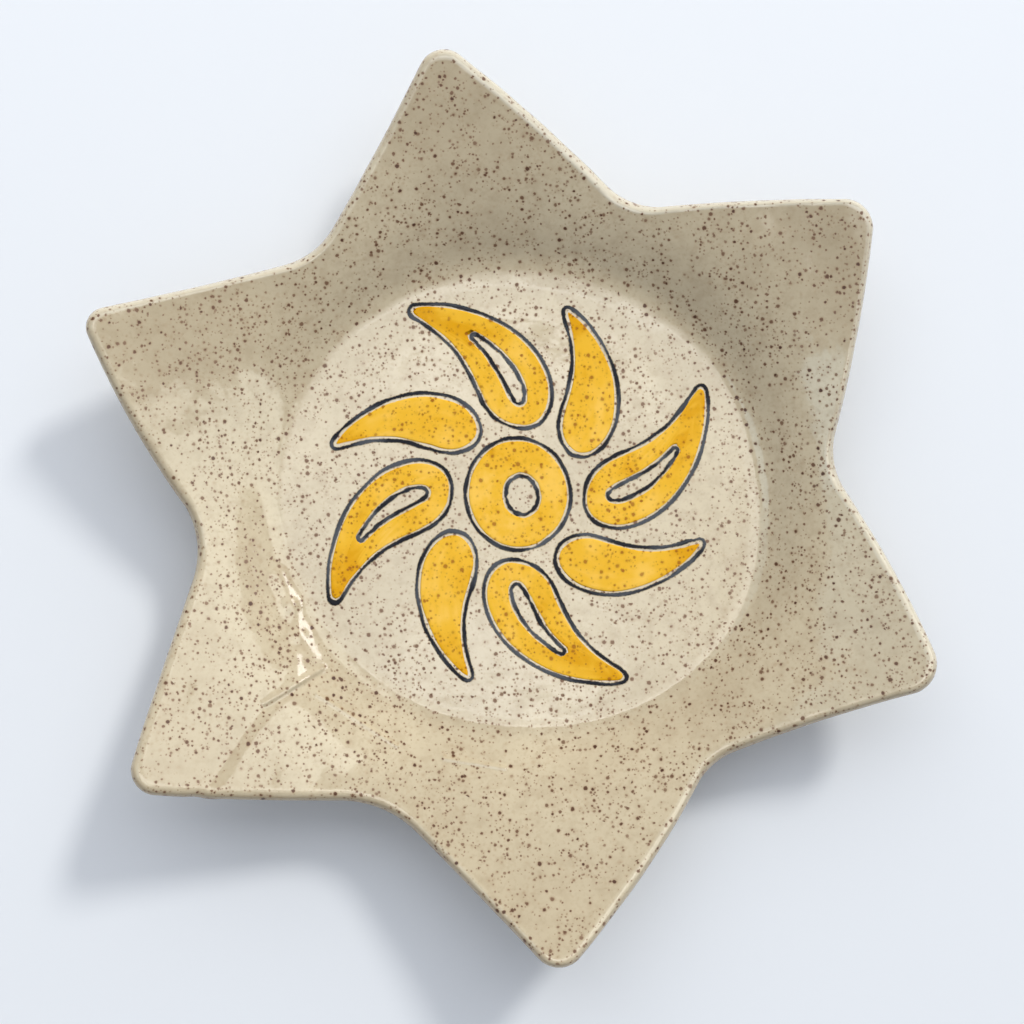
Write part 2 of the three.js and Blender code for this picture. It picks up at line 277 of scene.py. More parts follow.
def slab_top(x, y):
    """Height of the slab's top face over the floor: the wall's rise, which starts unevenly round
    the well, the ramp, the folds, and the hand's unevenness, slight on the floor and stronger on
    the walls."""
    radius = np.hypot(x, y)
    stray = smooth_step(*STRAY_BEGINS, radius) * (1 - smooth_step(*STRAY_ENDS, radius))
    bend = radius + stray * round_the_well(BEND_STRAY, x, y)
    ramp = smooth_step(*RAMP_SPAN, radius) * round_the_well(RAMP_RISE, x, y)
    on_wall = smooth_step(*WALL_SPAN, radius)
    height, length, seed = FLOOR_UNEVEN
    uneven = height * hand_waves(x, y, length, seed)
    for height, length, seed in WALL_UNEVEN:
        uneven = uneven + on_wall * height * hand_waves(x, y, length, seed)
    return wall_rise(bend) + ramp + uneven + near_lines(FOLDS, x, y)


def slab_square(x, y):
    """The unit vector square to the slab's top face, from the face's slope along x and y."""
    along_x = (slab_top(x + SLOPE_STEP, y) - slab_top(x - SLOPE_STEP, y)) / (2 * SLOPE_STEP)
    along_y = (slab_top(x, y + SLOPE_STEP) - slab_top(x, y - SLOPE_STEP)) / (2 * SLOPE_STEP)
    return unit(np.stack([-along_x, -along_y, np.ones_like(along_x)], axis=-1))


def unit(vectors):
    """The vectors at length one."""
    return vectors / np.linalg.norm(vectors, axis=-1, keepdims=True)


def star_edge(count):
    """The cut edge, counter-clockwise: an arc round each corner that touches both of its sides,
    and between corners a side that bows out by a parabola. Gives points spaced evenly along the
    edge, and their outward directions."""
    corners = [corner for pair in zip(TIPS, VALLEYS) for corner in pair]
    reach, turn, rounding = np.array(corners).T
    at = np.stack([reach * np.cos(np.radians(turn)), reach * np.sin(np.radians(turn))], axis=1)
    back = unit(np.roll(at, 1, axis=0) - at)
    ahead = unit(np.roll(at, -1, axis=0) - at)
    half_angle = np.arccos((back * ahead).sum(axis=1)) / 2
    centre = at + unit(back + ahead) * (rounding / np.sin(half_angle))[:, None]
    first = at + back * (rounding / np.tan(half_angle))[:, None] - centre
    sweep = (np.pi - 2 * half_angle) * np.where(np.arange(len(at)) % 2 == 0, 1, -1)
    share = np.linspace(0, 1, ARC_SAMPLES)
    angle = np.arctan2(first[:, 1], first[:, 0])[:, None] + sweep[:, None] * share
    arc = centre[:, None] + rounding[:, None, None] * np.stack([np.cos(angle), np.sin(angle)], -1)
    leave, arrive = arc[:, -1], np.roll(arc[:, 0], -1, axis=0)
    run = arrive - leave
    outward = unit(np.stack([run[:, 1], -run[:, 0]], axis=1))
    bow = np.array(EDGE_BOWS)[:, None] * 4 * share * (1 - share)
    side = leave[:, None] + run[:, None] * share[:, None] + outward[:, None] * bow[..., None]
    path = np.concatenate([arc[:, :-1], side[:, :-1]], axis=1).reshape(-1, 2)
    path = np.vstack([path, path[:1]])
    gone = np.concatenate([[0], np.cumsum(np.linalg.norm(np.diff(path, axis=0), axis=1))])
    wanted = np.linspace(0, gone[-1], count, endpoint=False)
    points = np.stack([np.interp(wanted, gone, path[:, 0]), np.interp(wanted, gone, path[:, 1])], 1)
    along = unit(np.roll(points, -2, axis=0) - np.roll(points, 2, axis=0))
    return points, np.stack([along[:, 1], -along[:, 0]], axis=1)


def mesh_object(name, points, faces):
    """A smooth mesh object from points in millimetres from the middle of the well and over the
    table, and faces given as arrays of three or four corners."""
    placed = np.asarray(points, dtype=np.float64) * MM
    placed = placed + np.array([well_middle.x, well_middle.y, 0.0])
    mesh = bpy.data.meshes.new(name)
    mesh.vertices.add(len(placed))
    mesh.vertices.foreach_set("co", placed.ravel())
    sizes = np.concatenate([np.full(len(part), part.shape[1]) for part in faces])
    corners = np.concatenate([part.ravel() for part in faces])
    mesh.loops.add(len(corners))
    mesh.loops.foreach_set("vertex_index", corners)
    mesh.polygons.add(len(sizes))
    mesh.polygons.foreach_set("loop_start", np.concatenate([[0], np.cumsum(sizes)[:-1]]))
    mesh.polygons.foreach_set("use_smooth", np.ones(len(sizes), dtype=bool))
    mesh.update(calc_edges=True)
    mesh.validate()
    made = bpy.data.objects.new(name, mesh)
    bpy.context.collection.objects.link(made)
    return made


def ring_faces(rings, count, first=0, closed=False):
    """Quads between each ring of points and the next, and with closed also from the last ring to
    the first. The points of a ring follow each other in the list."""
    ring = np.arange(rings if closed else rings - 1)[:, None]
    spot = np.arange(count)[None, :]
    here = first + ring * count
    there = first + (ring + 1) % rings * count
    after = (spot + 1) % count
    return np.stack([here + spot, there + spot, there + after, here + after], -1).reshape(-1, 4)


def pole_faces(rings, count):
    """Triangles that close a stack of rings. Its poles are points 0 and 1, and its rings follow."""
    spot = np.arange(count)
    after = (spot + 1) % count
    last = 2 + (rings - 1) * count
    opening = np.stack([np.zeros_like(spot), 2 + spot, 2 + after], axis=1)
    return [opening, np.stack([np.ones_like(spot), last + after, last + spot], axis=1)]


def store(piece, name, values):
    """Keeps a number, or a row of three, for each vertex of the piece, for its material to read."""
    values = np.asarray(values, dtype=np.float32)
    kind, field = ("FLOAT", "value") if values.ndim == 1 else ("FLOAT_VECTOR", "vector")
    attribute = piece.data.attributes.new(name, kind, "POINT")
    attribute.data.foreach_set(field, values.ravel())


edge, outward = star_edge(EDGE_SAMPLES)
edge_square = slab_square(edge[:, 0] * LEAN_AT, edge[:, 1] * LEAN_AT)
lean = -(edge_square[:, :2] * outward).sum(axis=1) * SLAB_T / 2
lip_nose = round_the_well(LIP_NOSES, edge[:, 0], edge[:, 1], LIP_FIRST_TURN, 0.03)
inset = edge - outward * (lip_nose + lean)[:, None]
inset_r = np.linalg.norm(inset, axis=1)
spoke = inset / inset_r[:, None]
floor_r = np.linspace(0, INNER_GRID_R, FLOOR_RINGS + 1)[1:, None] * np.ones(EDGE_SAMPLES)
wall_share = np.linspace(0, 1, WALL_RINGS + 1)[1:, None]
wall_r = INNER_GRID_R + wall_share * (inset_r - INNER_GRID_R)
top_r = np.vstack([floor_r, wall_r])
top_x, top_y = top_r * spoke[:, 0], top_r * spoke[:, 1]
top = np.stack([top_x, top_y, floor_z + slab_top(top_x, top_y)], axis=-1)

crest, crest_square = top[-1], slab_square(inset[:, 0], inset[:, 1])
out = np.concatenate([outward, np.zeros((EDGE_SAMPLES, 1))], axis=1)
out = unit(out - crest_square * (out * crest_square).sum(axis=1, keepdims=True))
core = crest - crest_square * SLAB_T / 2
bend = np.linspace(np.pi / 2, -np.pi / 2, NOSE_RINGS + 1)[1:, None, None]
reach_out = lip_nose[:, None] * np.maximum(np.cos(bend), 0)**LIP_FULLNESS
reach_up = SLAB_T / 2 * np.sign(np.sin(bend)) * np.abs(np.sin(bend))**LIP_FULLNESS
nose = core + out * reach_out + crest_square * reach_up

under_share = np.linspace(1, 0, UNDER_RINGS + 1)[1:-1, None]
under_x, under_y = inset[:, 0] * under_share, inset[:, 1] * under_share
under = np.stack([under_x, under_y, floor_z + slab_top(under_x, under_y)], axis=-1)
under = under - slab_square(under_x, under_y) * SLAB_T
rings = np.concatenate([top, nose, under])
middle_z = floor_z + slab_top(np.zeros(1), np.zeros(1))[0]
poles = np.array([[0, 0, middle_z], [0, 0, middle_z - SLAB_T]])
star = mesh_object("glazed_star", np.vstack([poles, rings.reshape(-1, 3)]), [
    ring_faces(len(rings), EDGE_SAMPLES, first=2), *pole_faces(len(rings), EDGE_SAMPLES)])

on_lip = np.zeros(rings.shape[:2])
on_lip[:len(top)] = np.clip(1 - (inset_r - top_r) / (LIP_FADE * lip_nose), 0, 1)
on_lip[len(top):len(top) + NOSE_RINGS] = 1
facing = np.arctan2(outward[:, 1], outward[:, 0])
# Painted shade and painted highlight: the lip is painted browner where it faces away from the beam
# and paler where it faces it.
painted_shade_side = 0.5 + 0.5 * np.cos(facing - LIP_SHADED_TURN)
painted_highlight_side = (0.5 + 0.5 * np.cos(facing - LIP_HIGHLIGHT_TURN))**2
# Painted highlight: the lip's paleness is kept only on the side that faces the beam, up to the
# right.
store(star, "lip", np.concatenate([[0, 0], (on_lip * painted_highlight_side).ravel()]))
# Browner colour: thin glaze on the points and darker lines on the walls, and below a painted shade
# on the lip away from the beam.
thin_and_shade = smooth_step(*THIN_SPAN, np.hypot(rings[..., 0], rings[..., 1])) * (1 - on_lip)
thin_and_shade = thin_and_shade + near_lines(DARKER_WALL_LINES, rings[..., 0], rings[..., 1])
# Painted shade: the lower nose and the underside are painted browner where they face away from the
# beam, down the picture.
thin_and_shade[len(top) + 2:] += LIP_PAINTED_SHADE * painted_shade_side
store(star, "thin_and_shade", np.concatenate([[0, 0], thin_and_shade.ravel()]))


def shader_node(tree, kind, inputs=None, **settings):
    """A node of the given kind with its settings made, and each named or numbered input given a
    value or joined to another node's output."""
    made = tree.nodes.new(kind)
    for name, value in settings.items():
        setattr(made, name, value)
    for name, value in (inputs or {}).items():
        if isinstance(value, bpy.types.NodeSocket):
            tree.links.new(value, made.inputs[name])
        else:
            made.inputs[name].default_value = value
    return made


def calc(tree, operation, first, second=0.0, third=0.0):
    """One sum, product or comparison of numbers or sockets."""
    return shader_node(tree, "ShaderNodeMath", {0: first, 1: second, 2: third},
                       operation=operation).outputs[0]


def mixed(tree, share, first, second):
    """Two colours mixed by a share."""
    return shader_node(tree, "ShaderNodeMix", {0: share, 6: first, 7: second},
                       data_type="RGBA").outputs[2]


def s_curve(tree, value, low, high, to_low=0.0, to_high=1.0):
    """The value taken from one range to another along a smooth S."""
    return shader_node(tree, "ShaderNodeMapRange",
                       {"Value": value, "From Min": low, "From Max": high,
                        "To Min": to_low, "To Max": to_high},
                       interpolation_type="SMOOTHSTEP").outputs["Result"]


def cloud(tree, point, size, detail=2.0):
    """Soft random clouds of about the given size in metres, around one half."""
    return shader_node(tree, "ShaderNodeTexNoise", {"Vector": point, "Scale": 1 / size,
                                                    "Detail": detail}).outputs["Fac"]


def new_group(name, inputs, outputs):
    """An empty shader node group with the named inputs and outputs, and its two end nodes."""
    group = bpy.data.node_groups.new(name, "ShaderNodeTree")
    for way, sockets in (("INPUT", inputs), ("OUTPUT", outputs)):
        for socket, kind in sockets.items():
            group.interface.new_socket(name=socket, in_out=way, socket_type="NodeSocket" + kind)
    given, put = group.nodes.new("NodeGroupInput"), group.nodes.new("NodeGroupOutput")
    return group, given.outputs, put.inputs


# Iron grains in the clay bleed through the glaze as specks. Each row: size of a grain's cell of
# clay, smallest and largest radius as shares of that cell, share of cells with a grain, darkness.
IRON_GRAINS = ((0.0021, 0.17, 0.33, 0.80, 1.0), (0.0015, 0.18, 0.35, 0.80, 0.85),
               (0.0011, 0.17, 0.34, 0.75, 0.50))
SHAKE = 0.0004
SHAKE_RATE = 1400.0
CROWD_SIZE = 0.010


def iron_speckle_group():
    """Specks, from random points in space: a speck shows where the surface passes within a random
    radius of such a point. The space is shaken a little by noise, so that specks are ragged."""
    group, given, put = new_group("iron_speckle", {"Point": "Vector"},
                                  {"Speck": "Float", "Stain": "Float"})
    shake = shader_node(group, "ShaderNodeTexNoise", {"Vector": given["Point"],
                                                      "Scale": SHAKE_RATE, "Detail": 1.0})
    shift = shader_node(group, "ShaderNodeVectorMath", {0: shake.outputs["Color"],
                                                        1: (0.5, 0.5, 0.5)}, operation="SUBTRACT")
    moved = shader_node(group, "ShaderNodeVectorMath", {0: shift.outputs[0],
                                                        1: (SHAKE, SHAKE, SHAKE),
                                                        2: given["Point"]},
                        operation="MULTIPLY_ADD")
    crowd = s_curve(group, cloud(group, given["Point"], CROWD_SIZE, 1.0), 0.35, 0.65, 0.45, 1.45)
    speck, stain = 0.0, 0.0
    for cell, smallest, largest, share, dark in IRON_GRAINS:
        field = shader_node(group, "ShaderNodeTexVoronoi", {"Vector": moved.outputs[0],
                                                            "Scale": 1 / cell})
        chance = shader_node(group, "ShaderNodeSeparateColor", {0: field.outputs["Color"]}).outputs
        radius = calc(group, "MULTIPLY_ADD", calc(group, "POWER", chance[0], 2.0),
                      largest - smallest, smallest)
        off = calc(group, "DIVIDE", field.outputs["Distance"], radius)
        grain = s_curve(group, off, 0.55, 1.15, 1.0, 0.0)
        halo = s_curve(group, off, 0.6, 2.0, 1.0, 0.0)
        strength = calc(group, "MULTIPLY", calc(group, "LESS_THAN", chance[1],
                                                 calc(group, "MULTIPLY", crowd, share)),
                        calc(group, "MULTIPLY_ADD", chance[2], 0.4 * dark, 0.6 * dark))
        speck = calc(group, "MAXIMUM", speck, calc(group, "MULTIPLY", grain, strength))
        stain = calc(group, "MAXIMUM", stain, calc(group, "MULTIPLY", halo, strength))
    group.links.new(speck, put["Speck"])
    group.links.new(stain, put["Stain"])
    return group


# The clay's colours, and how fully each later one covers those before it.
CLAY_CREAM = (0.64, 0.550, 0.385, 1)
CLAY_SHADE = (0.572, 0.487, 0.337, 1)
CLAY_GRAIN = (0.43, 0.33, 0.21, 1)
# The browner colour stands both for clay under thin glaze and for a painted shade on the lip away
# from the beam; the pale lip colour is a painted highlight on the lip towards the beam.
CLAY_THIN_AND_SHADE = (0.44, 0.35, 0.225, 1)
CLAY_LIP_HIGHLIGHT = (0.65, 0.61, 0.50, 1)
IRON_STAIN = (0.34, 0.160, 0.062, 1)
IRON_DARK = (0.060, 0.016, 0.003, 1)
GRAIN_SHARE, THIN_AND_SHADE_SHARE, LIP_HIGHLIGHT_SHARE = 0.36, 0.32, 0.7
STAIN_SHARE, SPECK_STAIN, SPECK_POWER = 0.28, 1.1, 1.2
iron_speckle = iron_speckle_group()


def stoneware_colour_group():
    """The colour under the clear glaze: cream clay that drifts a little in tone, browner where the
    glaze ran thin on the points, darker along some lines on the walls, browner as a painted shade
    where the lip faces away from the beam and paler as a painted highlight where it faces the beam,
    with fine grain, iron specks and their brown stains."""
    group, given, put = new_group("stoneware_colour",
                                  {"Point": "Vector", "Lip": "Float", "ThinAndShade": "Float"},
                                  {"Colour": "Color", "Speck": "Float"})
    point = given["Point"]
    base = mixed(group, s_curve(group, cloud(group, point, 0.035, 3.0), 0.32, 0.68),
                 CLAY_SHADE, CLAY_CREAM)
    coarse = s_curve(group, cloud(group, point, 0.004, 3.0), 0.42, 0.74, 0.0, GRAIN_SHARE)
    base = mixed(group, coarse, base, CLAY_GRAIN)
    fine = s_curve(group, cloud(group, point, 0.0012), 0.46, 0.8, 0.0, GRAIN_SHARE)
    base = mixed(group, fine, base, CLAY_GRAIN)
    # Browner for thin glaze, the darker wall lines and the painted shade on the lip; then paler for
    # the painted highlight on the lip.
    base = mixed(group, calc(group, "MULTIPLY", given["ThinAndShade"], THIN_AND_SHADE_SHARE), base, CLAY_THIN_AND_SHADE)
    base = mixed(group, calc(group, "MULTIPLY", given["Lip"], LIP_HIGHLIGHT_SHARE), base, CLAY_LIP_HIGHLIGHT)
    specks = shader_node(group, "ShaderNodeGroup", {"Point": point}, node_tree=iron_speckle)
    speck = specks.outputs["Speck"]
    stain = calc(group, "MAXIMUM", calc(group, "MULTIPLY", specks.outputs["Stain"], STAIN_SHARE),
                 calc(group, "MULTIPLY", speck, SPECK_STAIN))
    base = mixed(group, stain, base, IRON_STAIN)
    base = mixed(group, calc(group, "POWER", speck, SPECK_POWER), base, IRON_DARK)
    group.links.new(base, put["Colour"])
    group.links.new(speck, put["Speck"])
    return group


# The clear glaze's waves: size and height in metres, and how finely they are broken up. A tiny pit
# lies over each speck.
GLAZE_WAVES = ((0.010, 0.00013, 1.0), (0.0042, 0.000055, 2.0), (0.0017, 0.000008, 1.0))
SPECK_PIT = 0.000012


def glaze_surface_group():
    """Height of the clear glaze's own surface in metres: a slow orange-peel swell, finer ripples,
    and a tiny pit at each speck."""
    group, given, put = new_group("glaze_surface", {"Point": "Vector", "Speck": "Float"},
                                  {"Height": "Float"})
    height = calc(group, "MULTIPLY", given["Speck"], -SPECK_PIT)
    for size, rise, detail in GLAZE_WAVES:
        wave = cloud(group, given["Point"], size, detail)
        height = calc(group, "MULTIPLY_ADD", wave, rise, height)
    group.links.new(height, put["Height"])
    return group


def crease_group():
    """Height of the creases in metres: each row's height, fading by a bell curve of the distance
    from its line as seen from above."""
    group, given, put = new_group("creases", {"Point": "Vector"}, {"Height": "Float"})
    height = 0.0
    for first_x, first_y, last_x, last_y, rise, half_width in CREASES:
        start = well_middle.xy + Vector((first_x, first_y)) * MM
        run = Vector((last_x - first_x, last_y - first_y, 0)) * MM
        off = shader_node(group, "ShaderNodeVectorMath",
                          {0: given["Point"], 1: (1, 1, 0), 2: (-start.x, -start.y, 0)},
                          operation="MULTIPLY_ADD").outputs[0]
        along = shader_node(group, "ShaderNodeVectorMath", {0: off, 1: run / run.length_squared},
                            operation="DOT_PRODUCT").outputs["Value"]
        share = shader_node(group, "ShaderNodeClamp", {0: along}).outputs[0]
        foot = shader_node(group, "ShaderNodeVectorMath", {0: run, "Scale": share},
                           operation="SCALE").outputs[0]
        gap = shader_node(group, "ShaderNodeVectorMath", {0: off, 1: foot},
                          operation="DISTANCE").outputs["Value"]
        ratio = calc(group, "DIVIDE", gap, half_width * MM)
        fall = calc(group, "MULTIPLY", calc(group, "POWER", ratio, 2.0), -1.0)
        bell = calc(group, "EXPONENT", fall)
        height = calc(group, "MULTIPLY_ADD", bell, rise * MM, height)
    group.links.new(height, put["Height"])
    return group


stoneware_colour = stoneware_colour_group()
glaze_surface = glaze_surface_group()
creases = crease_group()


def new_material(name, roughness):
    """A material with its node tree, its main shader, and its Object coordinates."""
    material = bpy.data.materials.new(name)
    material.use_nodes = True
    tree = material.node_tree
    shader = tree.nodes["Principled BSDF"]
    shader.inputs["Roughness"].default_value = roughness
    return material, tree, shader, tree.nodes.new("ShaderNodeTexCoord").outputs["Object"]


def kept(tree, name, output="Fac"):
    """What store() kept for each vertex under a name."""
    return shader_node(tree, "ShaderNodeAttribute", attribute_name=name).outputs[output]


def add_bump(tree, shader, height):
    """Tilts the shader's surface as a height in metres asks."""
    bump = shader_node(tree, "ShaderNodeBump", {"Height": height, "Strength": 1.0, "Distance": 1.0})
    tree.links.new(bump.outputs["Normal"], shader.inputs["Normal"])


def add_clear_glaze(tree, shader, point, speck, relief=0.0):
    """Gives the shader the clear glaze's swell and ripples over the clay's own relief."""
    surface = shader_node(tree, "ShaderNodeGroup", {"Point": point, "Speck": speck},
                          node_tree=glaze_surface)
    add_bump(tree, shader, calc(tree, "ADD", surface.outputs["Height"], relief))


def finish_piece(piece, material, node):
    """Dresses a piece that stands for a node of the frame."""
    piece.data.materials.append(material)
    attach(piece, "root")
    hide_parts(node)


# The glaze is glossy, and a little duller where an iron speck breaks through it.
GLAZE_ROUGHNESS, SPECK_ROUGHNESS = 0.09, 0.35

star_glaze, tree, shader, point = new_material("speckled_clear_glaze", GLAZE_ROUGHNESS)
clay = shader_node(tree, "ShaderNodeGroup", {"Point": point, "Lip": kept(tree, "lip"),
                                             "ThinAndShade": kept(tree, "thin_and_shade")},
                   node_tree=stoneware_colour)
tree.links.new(clay.outputs["Colour"], shader.inputs["Base Color"])
roughness = s_curve(tree, clay.outputs["Speck"], 0.15, 0.6, GLAZE_ROUGHNESS, SPECK_ROUGHNESS)
tree.links.new(roughness, shader.inputs["Roughness"])
relief = shader_node(tree, "ShaderNodeGroup", {"Point": point}, node_tree=creases)
add_clear_glaze(tree, shader, point, clay.outputs["Speck"], relief.outputs["Height"])
finish_piece(star, star_glaze, "star_dish")

# The foot is a coil of the same clay, smoothed on under the floor. Glaze would stick it to the
# kiln shelf, so the lower part was wiped bare with a sponge and shows the buff, sandy clay.
FOOT_MIDDLE_R = 48.0
FOOT_HALF_W = 4.0
FOOT_IN_SLAB = 0.6
FOOT_SAMPLES = 360
# The coil's section by shares of its height: a rounded toe, and a swell where it meets the slab.
FOOT_TOE, FOOT_TOE_IN = 0.28, 0.22
FOOT_SWELL, FOOT_SWELL_FROM = 0.35, 0.55
BARE_ROUGHNESS, GLAZED_ROUGHNESS = 0.8, 0.12
SAND_RISE = 0.00012
BARE_CLAY = (0.46, 0.33, 0.19, 1)
BARE_CLAY_DARK = (0.33, 0.22, 0.12, 1)
GLAZE_LINE_Z = 0.0022

foot_top = (foot_high.z / MM) + FOOT_IN_SLAB
foot_turn = np.linspace(0, 2 * np.pi, FOOT_SAMPLES, endpoint=False)
foot_toe = FOOT_TOE * np.cos(np.linspace(0, np.pi / 2, 7))[1:]
foot_up = np.concatenate([np.linspace(1, FOOT_TOE, 9), foot_toe])
foot_swell = FOOT_SWELL * np.clip((foot_up - FOOT_SWELL_FROM) / (1 - FOOT_SWELL_FROM), 0, 1)**2
foot_round = np.sqrt(np.clip(1 - ((FOOT_TOE - foot_up).clip(0) / FOOT_TOE)**2, 0, 1))
foot_half = FOOT_HALF_W * (1 - FOOT_TOE_IN + FOOT_TOE_IN * foot_round + foot_swell)
foot_off = np.concatenate([foot_half, -foot_half[::-1]])
foot_rise = np.concatenate([foot_up, foot_up[::-1]]) * foot_top
foot_wave = 0.25 * np.cos(3 * foot_turn + 0.7) + 0.15 * np.cos(7 * foot_turn + 2.1)
foot_r = FOOT_MIDDLE_R + foot_off[:, None] * (1 + 0.03 * np.cos(5 * foot_turn)) + foot_wave
foot_z = np.broadcast_to(foot_rise[:, None], foot_r.shape)
foot_points = np.stack([foot_r * np.cos(foot_turn), foot_r * np.sin(foot_turn), foot_z], axis=-1)
foot = mesh_object("bare_foot", foot_points.reshape(-1, 3),
                   [ring_faces(len(foot_off), FOOT_SAMPLES, closed=True)])

foot_clay, tree, shader, point = new_material("wiped_foot_clay", BARE_ROUGHNESS)
clay = shader_node(tree, "ShaderNodeGroup", {"Point": point}, node_tree=stoneware_colour)
bare = mixed(tree, s_curve(tree, cloud(tree, point, 0.006, 4.0), 0.3, 0.7),
             BARE_CLAY_DARK, BARE_CLAY)
bare = mixed(tree, calc(tree, "MULTIPLY", clay.outputs["Speck"], 0.8), bare, IRON_DARK)
height = shader_node(tree, "ShaderNodeSeparateXYZ", {0: point}).outputs["Z"]
wavy = calc(tree, "MULTIPLY_ADD", cloud(tree, point, 0.008), 0.0016, height)
glazed = s_curve(tree, wavy, GLAZE_LINE_Z + 0.0007, GLAZE_LINE_Z + 0.0009)
tree.links.new(mixed(tree, glazed, bare, clay.outputs["Colour"]), shader.inputs["Base Color"])
roughness = s_curve(tree, glazed, 0.0, 1.0, BARE_ROUGHNESS, GLAZED_ROUGHNESS)
tree.links.new(roughness, shader.inputs["Roughness"])
sand = calc(tree, "MULTIPLY", cloud(tree, point, 0.0006, 3.0), SAND_RISE)
add_bump(tree, shader, calc(tree, "MULTIPLY", sand, s_curve(tree, glazed, 0.0, 1.0, 1.0, 0.1)))
finish_piece(foot, foot_clay, "foot_ring")

# The sun's fields are amber glaze, brushed on the raw floor of the well inside the outlines and
# fired under the clear glaze. The brush left them a little uneven, thinner at the margins and
# darker where the glaze gathered. Eight flames, long and short by turns, stand round a centre.
# Contours are functions of a turn from 0 to 2 pi, counter-clockwise.
CENTRE_R, CENTRE_OVAL = 13.0, 1.08
EYE_R, EYE_OVAL, EYE_SHIFT = 3.6, 1.25, (1.0, -0.5)
LINE_W, LINE_GAP = 1.4, 0.5
RAYS = 8
RAY_STEP = 2 * math.pi / RAYS
RAY_ROOT, RAY_TIP, SHORT_RAY_TIP = 19.04, 57.1, 51.1
LONG_RAY_HALF_W, SHORT_RAY_HALF_W = 8.6, 6.4
RAY_SWIRL, RAY_SWIRL_POWER, RAY_LEAN, RAY_TAPER = math.radians(34), 1.3, 0.35, 0.78
SLIT_HALF_W, SLIT_SPAN = 1.4, (0.16, 0.66)
AMBER_ROUGHNESS, AMBER_SPECULAR = 0.22, 0.08
AMBER_T = 0.10
AMBER_SINK = 0.06
AMBER_EDGE = 0.7
AMBER_OVER_GAP = 0.5
FIELD_SAMPLES = 260
FIELD_ACROSS = 20
FIELD_UNDER = 6
AMBER = (0.86, 0.485, 0.028, 1)
AMBER_PALE = (0.93, 0.565, 0.085, 1)
AMBER_POOLED = (0.74, 0.36, 0.002, 1)
AMBER_IRON = (0.24, 0.036, 0.004, 1)

flame_turns = np.linspace(0, np.pi, 400)
flame_fullness = (np.sin(flame_turns) * (1 - RAY_TAPER * (1 - np.cos(flame_turns)) / 2)).max()


def oval(middle, radius, stretch):
    """A contour: an oval round a middle, with its radius times the stretch along y."""
    def contour(turn):
        return np.stack([middle[0] + radius * np.cos(turn),
                         middle[1] + radius * stretch * np.sin(turn)], axis=-1)
    return contour


def flame(ray, half_width, span=(0.0, 1.0)):
    """A contour: a middle line that spirals out from the sun's centre, and a half-width that
    swells fast from a round root and thins to a narrow tip. The span is the part of the middle
    line that it covers."""
    tip = SHORT_RAY_TIP if ray % 2 else RAY_TIP

    def middle_line(share):
        along = span[0] + (span[1] - span[0]) * share
        angle = math.pi / 2 + ray * RAY_STEP + RAY_SWIRL * (along**RAY_SWIRL_POWER - RAY_LEAN)
        radius = RAY_ROOT + (tip - RAY_ROOT) * along
        return np.stack([radius * np.cos(angle), radius * np.sin(angle)], axis=-1)

    def contour(turn):
        share = (1 - np.cos(turn)) / 2
        along = unit(middle_line(np.minimum(share + 0.001, 1))
                     - middle_line(np.maximum(share - 0.001, 0)))
        half = half_width * np.sin(turn) * (1 - RAY_TAPER * share) / flame_fullness
        return middle_line(share) + np.stack([along[..., 1], -along[..., 0]], -1) * half[..., None]
    return contour


def outward_of(contour, turn):
    """The outward direction of a contour at each turn, from points a little before and after."""
    along = unit(contour(turn + 0.001) - contour(turn - 0.001))
    return np.stack([along[..., 1], -along[..., 0]], axis=-1)


def even_turns(contour, distance, count):
    """Turns at which points a distance outside the contour are spaced evenly."""
    turn = np.linspace(0, 2 * np.pi, 4001)
    path = contour(turn) + outward_of(contour, turn) * distance
    gone = np.concatenate([[0], np.cumsum(np.linalg.norm(np.diff(path, axis=0), axis=1))])
    return np.interp(np.linspace(0, gone[-1], count, endpoint=False), gone, turn), gone[-1]


def brush_wander(turn, draw, slowest=2, fastest=14):
    """How a hand-held brush wanders round a contour, between about -1 and 1: a sum of cosines of
    the turn, weaker as they get faster."""
    rate = np.arange(slowest, fastest)
    size = rate**-0.5 * draw.uniform(0.4, 1.0, len(rate))
    start = draw.uniform(0, 2 * np.pi, len(rate))
    return (size * np.cos(rate * turn[..., None] + start)).sum(axis=-1) / size.sum() * 1.8


def over_floor(plan, rise):
    """Points over the glazed floor: plan places with their height over the slab's top face."""
    height = floor_z + slab_top(plan[..., 0], plan[..., 1]) + rise
    return np.concatenate([plan, height[..., None]], axis=-1)


def field_rise(margin):
    """An amber field's height over the floor by the distance from its edge: sunk at the edge, and
    level from a little inside it."""
    return -AMBER_SINK + (AMBER_T + AMBER_SINK) * np.sqrt(smooth_step(0, AMBER_EDGE, margin))


def ring_field(name, contour, hole, draw):
    """A field with a hole. Each cut across it runs on top from the hole's edge to the contour and
    back underneath, and the cuts follow each other round the contour."""
    turn, _ = even_turns(contour, 0.0, FIELD_SAMPLES)
    past_contour = AMBER_OVER_GAP + 0.18 * brush_wander(turn, draw)
    outer = contour(turn) + outward_of(contour, turn) * past_contour[:, None]
    hole_gap = LINE_W + LINE_GAP - AMBER_OVER_GAP + 0.15 * brush_wander(turn, draw)
    inner = hole(turn) + outward_of(hole, turn) * hole_gap[:, None]
    width = np.linalg.norm(outer - inner, axis=1)
    share = np.concatenate([np.linspace(0, 1, FIELD_ACROSS), np.linspace(1, 0, FIELD_UNDER)[1:-1]])
    plan = inner + share[:, None, None] * (outer - inner)
    margin = np.minimum(share, 1 - share)[:, None] * width
    rise = np.where(np.arange(len(share))[:, None] < FIELD_ACROSS, field_rise(margin),
                    -AMBER_SINK * 2)
    made = mesh_object(name, over_floor(plan, rise).reshape(-1, 3),
                       [ring_faces(len(share), FIELD_SAMPLES, closed=True)])
    store(made, "margin", margin.ravel())
    return made, np.broadcast_to((1 - np.cos(turn)) / 2, margin.shape).ravel()


